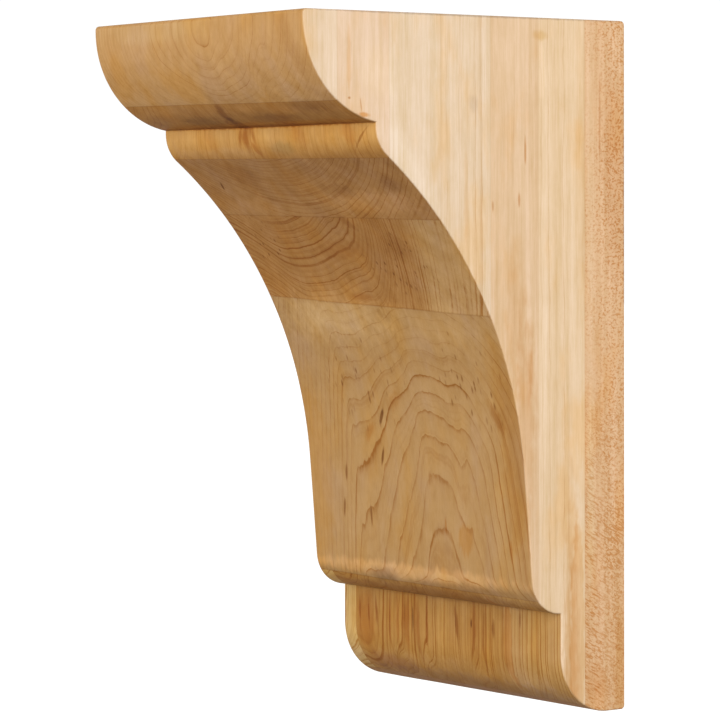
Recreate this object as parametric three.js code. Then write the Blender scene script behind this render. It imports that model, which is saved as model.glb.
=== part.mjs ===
// A solid wooden corbel: one block glued up from boards, its front cut to a moulded profile.
// Millimetres, +Z up. X runs across the width, the flat back lies in the plane Y = 0 against
// the wall, and the carved front faces -Y. The origin is the centre of the back face.
// A "depth" is a distance from the wall and a "drop" is a distance below the top face.

import * as THREE from 'three';

// Overall size
const HEIGHT = 355.6;
const WIDTH = 188;
const DEPTH = 203;

// Crown: a short flat under the top edge, then a quarter round that ends at the fillet
const CROWN_FLAT = 2.8;
const OVOLO_RADIUS = 52;
const FILLET_DEPTH = 159.5;

// Sweep: the shoulder turns the fillet onto the long hollow, which runs into a straight neck
const SHOULDER_RADIUS = 18.5;
const COVE_RADIUS = 230;
const NECK_LENGTH = 54;
const NECK_LEAN = THREE.MathUtils.degToRad(4.7);

// Lip and foot: the lip rolls back to the face of the foot, whose lower edge is rounded
const LIP_RADIUS = 19;
const LIP_DROP = 303.1;
const FOOT_DEPTH = 42.8;
const FOOT_RADIUS = 31.5;

// Sanded corners, and the sanded edges all round the two side faces
const CORNER_RADIUS = 1.6;
const EDGE_EASE = 0.8;

// Steps in each arc, and rows across each sanded edge
const ARC_STEPS = 10;
const EASE_ROWS = 2;

const BACK = Math.PI * 2;
const TOP = Math.PI / 2;
const FRONT = Math.PI;
const BOTTOM = Math.PI * 1.5;

const wood = new THREE.MeshStandardMaterial({ color: 0xd3ab7a, roughness: 0.72, metalness: 0 });

/** A point of the side view, from its depth off the wall and its drop below the top. */
function spot(depth, drop) {
  return new THREE.Vector2(-depth, HEIGHT / 2 - drop);
}

/** Adds an arc to the outline, joined to what is there by a straight line. */
function addArc(outline, centre, radius, from, to, clockwise = false) {
  outline.absarc(centre.x, centre.y, radius, from, to, clockwise);
}

/** The crown's quarter round, down to the face of the fillet. */
function addCrown(outline) {
  const centreDepth = DEPTH - OVOLO_RADIUS;
  const reach = Math.acos((FILLET_DEPTH - centreDepth) / OVOLO_RADIUS);
  addArc(outline, spot(DEPTH - CORNER_RADIUS, CORNER_RADIUS), CORNER_RADIUS, TOP, FRONT);
  addArc(outline, spot(centreDepth, CROWN_FLAT), OVOLO_RADIUS, FRONT, FRONT + reach);
}

/** The shoulder, the long hollow, the neck and the lip, each one tangent to the next. */
function addSweep(outline) {
  const lipCentre = spot(FOOT_DEPTH, LIP_DROP - LIP_RADIUS);

  // The neck touches the lip and the hollow on opposite sides, so their centres lie
  // both radii apart across it and its own length apart along it.
  const across = new THREE.Vector2(-Math.cos(NECK_LEAN), -Math.sin(NECK_LEAN));
  const along = new THREE.Vector2(-Math.sin(NECK_LEAN), Math.cos(NECK_LEAN));
  const coveCentre = lipCentre.clone()
    .addScaledVector(across, LIP_RADIUS + COVE_RADIUS)
    .addScaledVector(along, NECK_LENGTH);

  const shoulderX = SHOULDER_RADIUS - FILLET_DEPTH;
  const apart = SHOULDER_RADIUS + COVE_RADIUS;
  const rise = Math.sqrt(apart ** 2 - (shoulderX - coveCentre.x) ** 2);
  const shoulderCentre = new THREE.Vector2(shoulderX, coveCentre.y + rise);
  const turn = shoulderCentre.clone().sub(coveCentre).angle();

  addArc(outline, shoulderCentre, SHOULDER_RADIUS, FRONT, FRONT + turn);
  addArc(outline, coveCentre, COVE_RADIUS, turn, NECK_LEAN, true);
  addArc(outline, lipCentre, LIP_RADIUS, FRONT + NECK_LEAN, BOTTOM);
}

/** The foot panel with its rounded lower edge, and the corners against the wall. */
function addFootAndBack(outline) {
  addArc(outline, spot(FOOT_DEPTH - FOOT_RADIUS, HEIGHT - FOOT_RADIUS), FOOT_RADIUS, FRONT, BOTTOM);
  addArc(outline, spot(CORNER_RADIUS, HEIGHT - CORNER_RADIUS), CORNER_RADIUS, BOTTOM, BACK);
  addArc(outline, spot(CORNER_RADIUS, CORNER_RADIUS), CORNER_RADIUS, 0, TOP);
}

/** The block's side view, seen from +X with the wall on the right. */
function sideView() {
  const outline = new THREE.Shape();
  const start = spot(CORNER_RADIUS, 0);
  outline.moveTo(start.x, start.y);
  addCrown(outline);
  addSweep(outline);
  addFootAndBack(outline);
  return outline;
}

/** The whole corbel, cut from one block, with its side view extruded across the width. */
function corbel() {
  const geometry = new THREE.ExtrudeGeometry(sideView(), {
    depth: WIDTH - 2 * EDGE_EASE,
    curveSegments: ARC_STEPS,
    bevelThickness: EDGE_EASE,
    bevelSize: EDGE_EASE,
    bevelOffset: -EDGE_EASE,
    bevelSegments: EASE_ROWS,
  });
  geometry.translate(0, 0, EDGE_EASE - WIDTH / 2);

  // The outline's x becomes Y, its y becomes Z and the extrusion runs along X
  const mesh = new THREE.Mesh(geometry, wood);
  mesh.name = 'corbel';
  mesh.rotation.set(Math.PI / 2, Math.PI / 2, 0);
  return mesh;
}

const part = new THREE.Group();
part.name = 'corbel_bracket';
part.add(corbel());

export default part;
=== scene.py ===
"""Dresses a solid wooden corbel that is glued up from boards, and lights it in a plain studio.

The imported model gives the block's box. Everything here is in metres in that same frame: X runs across
the width, the flat back lies in the plane Y = 0, the carved front faces -Y and Z is up. A depth is a
distance from the wall. The wood's finish is worked out in millimetres, because its rings, fibres and
glue lines are.
"""

import logging
import math
from dataclasses import dataclass
from enum import Enum
from typing import Any

import bpy
import numpy as np
from mathutils import Matrix, Vector, noise


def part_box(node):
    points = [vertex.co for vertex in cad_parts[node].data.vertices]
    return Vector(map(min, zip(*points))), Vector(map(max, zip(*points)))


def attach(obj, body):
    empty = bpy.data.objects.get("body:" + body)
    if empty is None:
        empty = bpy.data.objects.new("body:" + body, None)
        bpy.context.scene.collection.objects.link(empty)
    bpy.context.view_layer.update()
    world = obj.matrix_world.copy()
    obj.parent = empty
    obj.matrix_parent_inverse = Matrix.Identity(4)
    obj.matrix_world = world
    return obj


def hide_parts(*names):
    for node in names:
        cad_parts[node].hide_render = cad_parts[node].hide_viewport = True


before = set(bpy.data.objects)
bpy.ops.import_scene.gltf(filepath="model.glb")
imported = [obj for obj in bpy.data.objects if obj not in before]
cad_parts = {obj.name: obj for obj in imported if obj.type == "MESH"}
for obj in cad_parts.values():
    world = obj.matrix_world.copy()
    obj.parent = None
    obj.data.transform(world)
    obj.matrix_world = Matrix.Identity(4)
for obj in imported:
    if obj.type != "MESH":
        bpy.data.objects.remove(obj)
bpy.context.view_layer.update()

MM = 0.001

log = logging.getLogger("corbel")

# What the wood's classes share, in millimetres: how far glue shows from a joint and how wide its dark
# core is, how far the sapwood's edge fades inwards and outwards, and, as a share of a mark's reach, what
# puts a point of another face beyond it
GLUE_REACH = 0.35
GLUE_CORE = 0.1
SAP_EDGE = (9.0, 5.0)
OUT_OF_REACH = 2.0

Value = "Wire | float"
Span = tuple[float, float]
Triple = tuple[float, float, float]
Colour = Triple


class Blend(Enum):
    """The ways in which one colour is laid over another."""

    MIX = "MIX"
    MULTIPLY = "MULTIPLY"


class Wire:
    """One output socket of a node graph, with arithmetic that adds Math nodes."""

    def __init__(self, graph: "Graph", socket: bpy.types.NodeSocket) -> None:
        """Wraps a socket.

        Args:
            graph: the graph that the socket's node belongs to.
            socket: the output socket itself.
        """
        self.graph = graph
        self.socket = socket

    def __add__(self, other: Value) -> "Wire":
        """Self plus other."""
        return self.graph.math("ADD", self, other)

    def __radd__(self, other: Value) -> "Wire":
        """Other plus self."""
        return self.graph.math("ADD", other, self)

    def __sub__(self, other: Value) -> "Wire":
        """Self minus other."""
        return self.graph.math("SUBTRACT", self, other)

    def __rsub__(self, other: Value) -> "Wire":
        """Other minus self."""
        return self.graph.math("SUBTRACT", other, self)

    def __mul__(self, other: Value) -> "Wire":
        """Self times other."""
        return self.graph.math("MULTIPLY", self, other)

    def __rmul__(self, other: Value) -> "Wire":
        """Other times self."""
        return self.graph.math("MULTIPLY", other, self)

    def __truediv__(self, other: Value) -> "Wire":
        """Self divided by other."""
        return self.graph.math("DIVIDE", self, other)

    def __rtruediv__(self, other: Value) -> "Wire":
        """Other divided by self."""
        return self.graph.math("DIVIDE", other, self)

    def __pow__(self, other: Value) -> "Wire":
        """Self to the power of other."""
        return self.graph.math("POWER", self, other)

    def __neg__(self) -> "Wire":
        """Self with its sign turned."""
        return self.graph.math("MULTIPLY", self, -1.0)

    def __abs__(self) -> "Wire":
        """Self without its sign."""
        return self.graph.math("ABSOLUTE", self)

    def __gt__(self, other: Value) -> "Wire":
        """1 where self is greater than other, 0 elsewhere."""
        return self.graph.math("GREATER_THAN", self, other)

    def __lt__(self, other: Value) -> "Wire":
        """1 where self is less than other, 0 elsewhere."""
        return self.graph.math("LESS_THAN", self, other)

    def fraction(self) -> "Wire":
        """The part of self after the decimal point."""
        return self.graph.math("FRACT", self)

    def floor(self) -> "Wire":
        """Self rounded down."""
        return self.graph.math("FLOOR", self)

    def lower_of(self, other: Value) -> "Wire":
        """The lesser of self and other."""
        return self.graph.math("MINIMUM", self, other)

    def higher_of(self, other: Value) -> "Wire":
        """The greater of self and other."""
        return self.graph.math("MAXIMUM", self, other)

    def rise(self, start: float, end: float) -> "Wire":
        """A smooth rise of self from 0 at start to 1 at end.

        Args:
            start: the value that gives 0.
            end: the value that gives 1, which may be lower than start.

        Returns:
            The smoothed value, held between 0 and 1.
        """
        settings = {"interpolation_type": "SMOOTHSTEP", "clamp": True}
        inputs = {"Value": self, "From Min": start, "From Max": end, "To Min": 0.0, "To Max": 1.0}
        return self.graph.add("ShaderNodeMapRange", settings, inputs).out("Result")

    def bump_at(self, centre: float, reach: float) -> "Wire":
        """A soft hump of self, 1 at centre and 0 beyond its reach on either side."""
        return abs(self - centre).rise(reach, 0.0)


class Added:
    """A node that has been added to a graph."""

    def __init__(self, graph: "Graph", node: bpy.types.Node) -> None:
        """Wraps a node.

        Args:
            graph: the graph that it belongs to.
            node: the node itself.
        """
        self.graph = graph
        self.node = node

    def out(self, name: str) -> Wire:
        """The output of that name that is in use."""
        found = [s for s in self.node.outputs if s.name == name and s.enabled]
        return Wire(self.graph, found[0])


class Graph:
    """A material's or a world's node tree, and the few ways in which this file adds to it."""

    def __init__(self, tree: bpy.types.NodeTree) -> None:
        """Empties a node tree so that it can be built.

        Args:
            tree: the node tree of a material or world.
        """
        self.tree = tree
        tree.nodes.clear()

    def add(self, kind: str, settings: dict[str, Any], inputs: dict[str, Any]) -> Added:
        """Adds any node.

        Args:
            kind: the node's type.
            settings: the node's own properties, which are set first.
            inputs: a value or a wire for each socket, by the socket's name.

        Returns:
            The added node.
        """
        node = self.tree.nodes.new(kind)
        for name, value in settings.items():
            setattr(node, name, value)
        for name, value in inputs.items():
            socket = [s for s in node.inputs if s.name == name and s.enabled][0]
            self.feed(socket, value)
        return Added(self, node)

    def feed(self, socket: bpy.types.NodeSocket, value: Any) -> None:
        """Links a wire to a socket, or sets the socket to a plain value.

        Args:
            socket: the input socket.
            value: a wire, a number, a colour or a vector.
        """
        if isinstance(value, Wire):
            self.tree.links.new(value.socket, socket)
            return
        if socket.type == "RGBA" and len(value) == 3:
            value = (*value, 1.0)
        socket.default_value = value

    def math(self, operation: str, *values: Value) -> Wire:
        """One Math node.

        Args:
            operation: the node's operation.
            *values: a number or a wire for each of its inputs, in order.

        Returns:
            The result.
        """
        node = self.tree.nodes.new("ShaderNodeMath")
        node.operation = operation
        for socket, value in zip(node.inputs, values):
            self.feed(socket, value)
        return Wire(self, node.outputs[0])

    def vector(self, operation: str, *values: Any) -> Wire:
        """One Vector Math node with a vector result.

        Args:
            operation: the node's operation.
            *values: a vector or a wire for each of its inputs, in order.

        Returns:
            The result.
        """
        node = self.tree.nodes.new("ShaderNodeVectorMath")
        node.operation = operation
        for socket, value in zip(node.inputs, values):
            self.feed(socket, value)
        return Wire(self, node.outputs["Vector"])

    def mix(self, factor: Value, under: Any, over: Any, blend: Blend = Blend.MIX) -> Wire:
        """Lays one colour over another.

        Args:
            factor: how much of the upper colour shows.
            under: the lower colour.
            over: the upper colour.
            blend: how the upper colour is laid on.

        Returns:
            The mixed colour.
        """
        node = self.tree.nodes.new("ShaderNodeMix")
        node.data_type = "RGBA"
        node.blend_type = blend.value
        names = {"Factor": factor, "A": under, "B": over}
        for socket in node.inputs:
            if socket.enabled and socket.name in names:
                self.feed(socket, names[socket.name])
        return [Wire(self, s) for s in node.outputs if s.enabled][0]

    def curve(self, value: Wire, points: tuple[Span, ...]) -> Wire:
        """A smooth curve of a value from 0 to 1 through given points.

        Args:
            value: the value along the curve.
            points: where the curve passes, each as (place, height), both from 0 to 1.

        Returns:
            The curve's height.
        """
        node = self.tree.nodes.new("ShaderNodeFloatCurve")
        line = node.mapping.curves[0]
        while len(line.points) < len(points):
            line.points.new(0.5, 0.5)
        for knot, place in zip(line.points, points):
            knot.location = place
        node.mapping.update()
        self.feed(node.inputs["Value"], value)
        self.feed(node.inputs["Factor"], 1.0)
        return Wire(self, node.outputs[0])


@dataclass(frozen=True)
class Place:
    """Where a point of the wood is, in millimetres, and which way its surface faces.

    Attributes:
        spot: its position.
        x: its place across the width.
        depth: its distance from the wall.
        drop: how far it lies below the top.
        on_front: across and down the carved front, and how far off it the point is.
        on_right: the depth and the drop on the right-hand side, and how far off it the point is.
        down: the drop again, in each part of a vector.
        on_side: 1 on the two sides, with a little on the front's rims beside them as a painted highlight.
        on_back: 1 on the back.
        crosscut_and_underside_shade: how much the wood's fibres end at the surface, more where it faces down,
            which paints shade under overhangs.
    """

    spot: Wire
    x: Wire
    depth: Wire
    drop: Wire
    on_front: Wire
    on_right: Wire
    down: Wire
    on_side: Wire
    on_back: Wire
    crosscut_and_underside_shade: Wire


@dataclass(frozen=True)
class Seam:
    """A glued joint, nearly parallel to the wall.

    Attributes:
        depth: distance from the wall at the right-hand side, in mm.
        skew: how much deeper the joint lies for each mm to the left.
    """

    depth: float
    skew: float

    def ahead(self, place: Place, right: float) -> Wire:
        """How far in front of the joint a point lies, in mm.

        Args:
            place: the point.
            right: the block's right-hand side, in mm.

        Returns:
            The distance, negative behind the joint.
        """
        return place.depth - (right - place.x) * self.skew - self.depth


@dataclass(frozen=True)
class Stave:
    """A strip of a board that was glued on edge to edge.

    Attributes:
        start: its left-hand joint, in mm.
        end: its right-hand joint, in mm.
        shift: how many rings its grain is out of step with the rest of the board.
        tint: what the board's colour is multiplied by.
    """

    start: float
    end: float
    shift: float
    tint: Colour

    def cover(self, place: Place) -> Wire:
        """1 inside the strip, 0 elsewhere."""
        return (place.x > self.start) * (place.x < self.end)


@dataclass(frozen=True)
class Look:
    """What the board at a point looks like.

    Attributes:
        rings: how many rings lie between the point and the log's centre.
        front: the wood's colour on the carved front, darkened with painted shade.
        side: its colour on the sides, paler with a painted sheen.
        joint: 1 close to a joint between two strips.
        strength: how dark the rings are drawn.
        uneven: how much the rings differ in strength.
        rays: how much the side is flecked by rays.
        thirst_and_shade: how much the wood darkens where it is cut across, as end grain and as painted shade
            on surfaces that face down.
    """

    rings: Wire
    front: Any
    side: Any
    joint: Wire
    strength: Value
    uneven: Value
    rays: Value
    thirst_and_shade: Value


@dataclass(frozen=True)
class Board:
    """One board of the blank and the log that it was sawn from.

    Attributes:
        pith_x: where the log's centre lies across the width, in mm.
        pith_depth: the centre's distance from the wall, in mm.
        ring: the mean width of a year's growth, in mm.
        front: the wood's colour on the carved front, darkened with painted shade.
        side: its colour on the sawn and sanded sides, paler with a painted sheen.
        strength: how dark the rings are drawn.
        uneven: how much the rings differ, from 0 for all alike to 1 for a few strong ones.
        ripples: how far the rings bulge towards the log's centre, as (x, mm).
        sap_from: the radius at which the pale sapwood starts, in mm.
        sap: the sapwood's colour on the front.
        staves: strips that are glued on edge to edge.
        rays: how much the side is flecked by the wood's rays.
        thirst_and_shade: how much the wood darkens where it is cut across, as end grain and as painted shade
            on surfaces that face down.
    """

    pith_x: float
    pith_depth: float
    ring: float
    front: Colour
    side: Colour
    strength: float = 0.5
    uneven: float = 0.9
    ripples: tuple[Span, ...] = ()
    sap_from: float = math.inf
    sap: Colour = (1.0, 1.0, 1.0)
    staves: tuple[Stave, ...] = ()
    rays: float = 0.0
    thirst_and_shade: float = 1.0

    def radius(self, graph: Graph, place: Place) -> Wire:
        """How far a point lies from the log's centre, in mm, with the rings' bulges taken out.

        Args:
            graph: the graph to add to.
            place: the point.

        Returns:
            The distance.
        """
        across = place.x - self.pith_x
        out = place.depth - self.pith_depth
        straight = graph.math("SQRT", across * across + out * out)
        if not self.ripples:
            return straight
        low, high = self.ripples[0][0], self.ripples[-1][0]
        span = max(abs(bulge) for _, bulge in self.ripples)
        points = tuple(((x - low) / (high - low), 0.5 + 0.5 * bulge / span) for x, bulge in self.ripples)
        return straight + (graph.curve((place.x - low) / (high - low), points) - 0.5) * (2.0 * span)

    def look(self, graph: Graph, place: Place) -> Look:
        """What the board looks like at a point.

        Args:
            graph: the graph to add to.
            place: the point.

        Returns:
            Its look, as if the whole blank were this board.
        """
        radius = self.radius(graph, place)
        rings = radius / self.ring
        front = self.front
        if math.isfinite(self.sap_from):
            sapwood = radius.rise(self.sap_from - SAP_EDGE[0], self.sap_from + SAP_EDGE[1])
            front = graph.mix(sapwood, self.front, self.sap)
        joint = place.x * 0.0
        for stave in self.staves:
            inside = stave.cover(place)
            rings = rings + inside * stave.shift
            front = graph.mix(inside, front, stave.tint, Blend.MULTIPLY)
            for edge in (stave.start, stave.end):
                joint = joint.higher_of(place.x.bump_at(edge, GLUE_REACH))
        return Look(rings, front, self.side, joint, self.strength, self.uneven, self.rays, self.thirst_and_shade)


class Face(Enum):
    """The faces that can show a mark."""

    FRONT = "front"
    RIGHT = "right"


@dataclass(frozen=True)
class Patch:
    """A part of a face, with a soft, uneven rim.

    Attributes:
        face: the face that it lies on.
        across: its middle's place across the front, or its depth on a side, in mm.
        drop: how far its middle lies below the top, in mm.
        width: half its width, in mm.
        length: half its height, in mm.
        lean: how far it slants across for each mm down.
        softness: the share of its reach over which it fades.
    """

    face: Face
    across: float
    drop: float
    width: float
    length: float
    lean: float = 0.0
    softness: float = 0.7

    def cover(self, graph: Graph, place: Place, wobble: Wire) -> Wire:
        """How much a point belongs to the patch.

        Args:
            graph: the graph to add to.
            place: the point.
            wobble: noise around zero that makes the rim uneven.

        Returns:
            1 at its middle, 0 outside it.
        """
        point = place.on_front if self.face is Face.FRONT else place.on_right
        if self.lean:
            point = graph.vector("MULTIPLY_ADD", place.down, (-self.lean, 0.0, 0.0), point)
        scale = (1.0 / self.width, 1.0 / self.length, 1.0)
        middle = (self.across - self.lean * self.drop, self.drop, 0.0)
        offset = tuple(-coordinate * factor for coordinate, factor in zip(middle, scale))
        spot = graph.vector("MULTIPLY_ADD", point, scale, offset)
        length = graph.add("ShaderNodeVectorMath", {"operation": "LENGTH"}, {"Vector": spot})
        return (length.out("Value") + wobble).rise(1.0, 1.0 - self.softness)


@dataclass(frozen=True)
class Mark(Patch):
    """A mineral streak, stain or smudge.

    Attributes:
        tint: what the wood's colour is multiplied by at its middle.
    """

    tint: Colour = (0.6, 0.5, 0.4)


@dataclass(frozen=True)
class Grain:
    """Soft noise in the wood.

    Attributes:
        waves: waves per millimetre along X, Y and Z.
        detail: how many finer layers are added.
        roughness: how strong each finer layer is.
    """

    waves: Triple
    detail: float = 2.0
    roughness: float = 0.5

    def at(self, graph: Graph, spot: Wire) -> Wire:
        """The noise at a position.

        Args:
            graph: the graph to add to.
            spot: the position in millimetres.

        Returns:
            A value from 0 to 1 that is 0.5 on average.
        """
        inputs = {
            "Vector": graph.vector("MULTIPLY", spot, self.waves),
            "Scale": 1.0,
            "Detail": self.detail,
            "Roughness": self.roughness,
        }
        return graph.add("ShaderNodeTexNoise", {"noise_dimensions": "3D"}, inputs).out("Fac")

    def around_zero(self, graph: Graph, spot: Wire) -> Wire:
        """The noise at a position, shifted so that it is 0 on average."""
        return self.at(graph, spot) - 0.5


@dataclass(frozen=True)
class Tone:
    """The wood's changes of tone, from broad clouds down to single fibres.

    Attributes:
        cloud: broad clouds along the grain.
        golden: the cloud's values from which the wood starts to turn golden and is all golden.
        blond: the cloud's values from which it starts to turn pale and is all pale.
        gold: what golden wood is multiplied by, on the front and on a side.
        pale: what pale wood is multiplied by, on the front and on a side.
        streaks: long soft streaks.
        fibres: the fibres.
        mottle: small blotches.
        streaked: how much the streaks show on the front, and how much more on a side.
        fibrous: how much the fibres show.
        mottled: how much the blotches show on the front, less on a side, more on end grain.
        channels: how much red, green and blue follow the tone.
    """

    cloud: Grain = Grain((0.045, 0.045, 0.018), 4.0, 0.55)
    golden: Span = (0.48, 0.68)
    blond: Span = (0.5, 0.3)
    gold: tuple[Colour, Colour] = ((1.01, 0.94, 0.72), (1.0, 0.91, 0.76))
    pale: tuple[Colour, Colour] = ((0.98, 1.01, 1.22), (1.03, 1.04, 1.06))
    streaks: Grain = Grain((0.25, 0.25, 0.006), 4.0, 0.6)
    fibres: Grain = Grain((1.6, 1.6, 0.08), 3.0, 0.65)
    mottle: Grain = Grain((0.12, 0.12, 0.07), 4.0, 0.65)
    streaked: Span = (0.25, 0.22)
    fibrous: float = 0.28
    mottled: Triple = (0.42, 0.22, 0.5)
    channels: Triple = (0.7, 1.0, 1.8)

    def lay(self, graph: Graph, place: Place, colour: Wire) -> Wire:
        """Lays the tone over the boards' plain colour.

        Args:
            graph: the graph to add to.
            place: the point.
            colour: the plain colour.

        Returns:
            The toned colour.
        """
        cloud = self.cloud.at(graph, place.spot)
        gold = graph.mix(place.on_side, *self.gold)
        colour = graph.mix(cloud.rise(*self.golden), colour, gold, Blend.MULTIPLY)
        pale = graph.mix(place.on_side, *self.pale)
        colour = graph.mix(cloud.rise(*self.blond), colour, pale, Blend.MULTIPLY)
        streaks = self.streaks.around_zero(graph, place.spot)
        fibres = self.fibres.around_zero(graph, place.spot)
        mottle = self.mottle.around_zero(graph, place.spot)
        plain, less, more = self.mottled
        blotchy = plain - place.on_side * less + place.crosscut_and_underside_shade * more
        tone = fibres * self.fibrous + streaks * (place.on_side * self.streaked[1] + self.streaked[0])
        tone = tone + mottle * blotchy
        levels = {name: tone * gain + 1.0 for name, gain in zip(("Red", "Green", "Blue"), self.channels)}
        shade = graph.add("ShaderNodeCombineColor", {}, levels).out("Color")
        return graph.mix(1.0, colour, shade, Blend.MULTIPLY)


@dataclass(frozen=True)
class Rings:
    """The annual rings: a thin line at each ring's end and a faint rise of tone towards it.

    Attributes:
        bends: noise that bends the rings, each with its reach in rings, from broad to fine.
        jags: the fine noise that frays the rings and the rims of marks.
        jagged: how far the jags reach, in rings.
        line: the part of a ring over which its line darkens.
        line_end: the part over which the line fades again.
        body: the part over which the rest of the ring darkens.
        body_end: the part over which the rest fades again.
        contrast: what the years' strengths are multiplied by, and what is taken off them.
        breaks: noise that breaks the lines up.
        broken: the noise's values between which a line goes from broken to whole.
        whole: how much of a line depends on the breaks.
        bodied: how much the rest of the ring shows.
        spell: the noise that picks runs of dark years, by its waves per ring, detail and roughness.
        dark_spell: the noise's values between which a run of years turns dark.
        spelled: how much such runs show.
        patches: noise that makes the rings stronger in some parts.
        patchy: how much a ring's strength follows the patches, and its least strength.
        late: what the wood's colour is multiplied by in the latewood.
        on_sides: how much less the rings show on the sides.
    """

    bends: tuple[tuple[Grain, float], ...] = (
        (Grain((0.02, 0.02, 0.008), 1.0), 0.9),
        (Grain((0.08, 0.08, 0.03), 1.0), 0.6),
    )
    jags: Grain = Grain((0.35, 0.35, 0.12), 2.0)
    jagged: float = 0.22
    line: Span = (0.78, 0.96)
    line_end: Span = (1.0, 0.965)
    body: Span = (0.3, 0.95)
    body_end: Span = (1.0, 0.95)
    contrast: Span = (2.2, 0.95)
    breaks: Grain = Grain((0.22, 0.22, 0.07), 3.0, 0.6)
    broken: Span = (0.3, 0.6)
    whole: float = 0.7
    bodied: float = 0.12
    spell: Triple = (1.3, 3.0, 0.7)
    dark_spell: Span = (0.5, 0.72)
    spelled: float = 0.7
    patches: Grain = Grain((0.05, 0.05, 0.02), 1.0)
    patchy: Span = (1.4, 0.3)
    late: Colour = (0.66, 0.45, 0.20)
    on_sides: float = 0.82

    def bend(self, graph: Graph, place: Place, rings: Wire, wobble: Wire) -> Wire:
        """Bends the ring count so that no ring is a true circle.

        Args:
            graph: the graph to add to.
            place: the point.
            rings: the ring count.
            wobble: the jags, around zero.

        Returns:
            The new ring count.
        """
        for grain, reach in self.bends:
            rings = rings + grain.around_zero(graph, place.spot) * reach
        return rings + wobble * self.jagged

    def darkness(self, graph: Graph, place: Place, rings: Wire, uneven: Wire) -> Wire:
        """How dark the rings are drawn at a point.

        Args:
            graph: the graph to add to.
            place: the point.
            rings: the ring count.
            uneven: how much the rings differ in strength.

        Returns:
            The darkness, from 0 to about 1.
        """
        cycle = rings.fraction()
        lot = graph.add("ShaderNodeTexWhiteNoise", {"noise_dimensions": "1D"}, {"W": rings.floor()})
        line = cycle.rise(*self.line) ** 2.0 * cycle.rise(*self.line_end)
        weight = 1.0 + uneven * (lot.out("Value") ** 3.0 * self.contrast[0] - self.contrast[1])
        breaks = self.breaks.at(graph, place.spot).rise(*self.broken)
        body = cycle.rise(*self.body) * cycle.rise(*self.body_end)
        waves, detail, roughness = self.spell
        spell = {"W": rings, "Scale": waves, "Detail": detail, "Roughness": roughness}
        spells = graph.add("ShaderNodeTexNoise", {"noise_dimensions": "1D"}, spell).out("Fac")
        shown = line * weight * (breaks * self.whole + (1.0 - self.whole)) + body * self.bodied
        shown = shown + spells.rise(*self.dark_spell) * (uneven * self.spelled)
        patches = self.patches.at(graph, place.spot)
        return shown * (patches * self.patchy[0] + self.patchy[1])


@dataclass(frozen=True)
class Flecks:
    """Mineral flecks: small scattered spots, one in some of the cells of a loose lattice.

    Attributes:
        cells: cells per millimetre along X, Y and Z.
        size: a spot's reach as a share of a cell.
        core: the share of that reach where the spot is darkest.
        share: how many of the cells have one.
        paling: how much paler the palest is than the darkest.
        elsewhere: how much they show outside the flecked parts.
        on_sides: how much less they show on the sides.
        tint: what the wood's colour is multiplied by.
    """

    cells: Triple = (0.32, 0.32, 0.085)
    size: float = 0.33
    core: float = 0.3
    share: float = 0.65
    paling: float = 0.6
    elsewhere: float = 0.12
    on_sides: float = 0.85
    tint: Colour = (0.52, 0.36, 0.21)

    def cover(self, graph: Graph, place: Place) -> Wire:
        """How dark the spot at a point is, and 0 outside one.

        Args:
            graph: the graph to add to.
            place: the point.

        Returns:
            The darkness, from 0 to 1.
        """
        spot = graph.vector("MULTIPLY", place.spot, self.cells)
        inputs = {"Vector": spot, "Scale": 1.0, "Randomness": 1.0}
        cell = graph.add("ShaderNodeTexVoronoi", {"feature": "F1"}, inputs)
        lot = graph.add("ShaderNodeSeparateColor", {}, {"Color": cell.out("Color")}).out("Red")
        inside = cell.out("Distance").rise(self.size, self.size * self.core)
        return inside * (lot < self.share) * (1.0 - lot / self.share * self.paling)


@dataclass(frozen=True)
class Rays:
    """The wood's rays, which fleck the side of the board next to the wall.

    Attributes:
        crowds: noise that crowds them in parts.
        pores: the level ones.
        dashes: the short ones lower down, which slant down towards the wall.
        crowded: the first noise's values between which they crowd.
        pored: the second's values between which a level ray shows.
        dashed: the third's values between which a dash shows.
        wall: the depths between which the level ones thicken towards the wall, in mm.
        pore_shares: how much of a level ray comes from the wall, from the crowding, and everywhere.
        lower: the drops between which the dashes come in, in mm.
        dash_shares: how much of a dash comes from the crowding, and everywhere.
        slant: how much a dash runs along the depth, and how much along the drop.
        tint: what the wood's colour is multiplied by.
    """

    crowds: Grain = Grain((0.05, 0.05, 0.02), 3.0, 0.6)
    pores: Grain = Grain((0.3, 0.6, 0.8), 4.0, 0.72)
    dashes: Grain = Grain((0.3, 0.23, 1.0), 3.0, 0.6)
    crowded: Span = (0.35, 0.65)
    pored: Span = (0.47, 0.64)
    dashed: Span = (0.47, 0.63)
    wall: Span = (24.0, 6.0)
    pore_shares: Triple = (0.8, 0.5, 0.1)
    lower: Span = (130.0, 300.0)
    dash_shares: Span = (0.6, 0.5)
    slant: Span = (0.87, 0.5)
    tint: Colour = (0.77, 0.56, 0.34)

    def cover(self, graph: Graph, place: Place) -> Wire:
        """How much a ray shows at a point of a side.

        Args:
            graph: the graph to add to.
            place: the point.

        Returns:
            The strength, from 0 to about 1.
        """
        crowds = self.crowds.at(graph, place.spot).rise(*self.crowded)
        pores = self.pores.at(graph, place.spot).rise(*self.pored)
        by_wall, by_crowd, everywhere = self.pore_shares
        pores = pores * (place.depth.rise(*self.wall) * by_wall + crowds * by_crowd + everywhere)
        level, steep = self.slant
        along = place.depth * -level + place.drop * steep
        across = place.drop * level + place.depth * steep
        turned = graph.add("ShaderNodeCombineXYZ", {}, {"X": place.x, "Y": along, "Z": across})
        dashes = self.dashes.at(graph, turned.out("Vector")).rise(*self.dashed)
        by_crowd, everywhere = self.dash_shares
        dashes = dashes * place.drop.rise(*self.lower) * (crowds * by_crowd + everywhere)
        return pores.higher_of(dashes) * place.on_side


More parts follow.
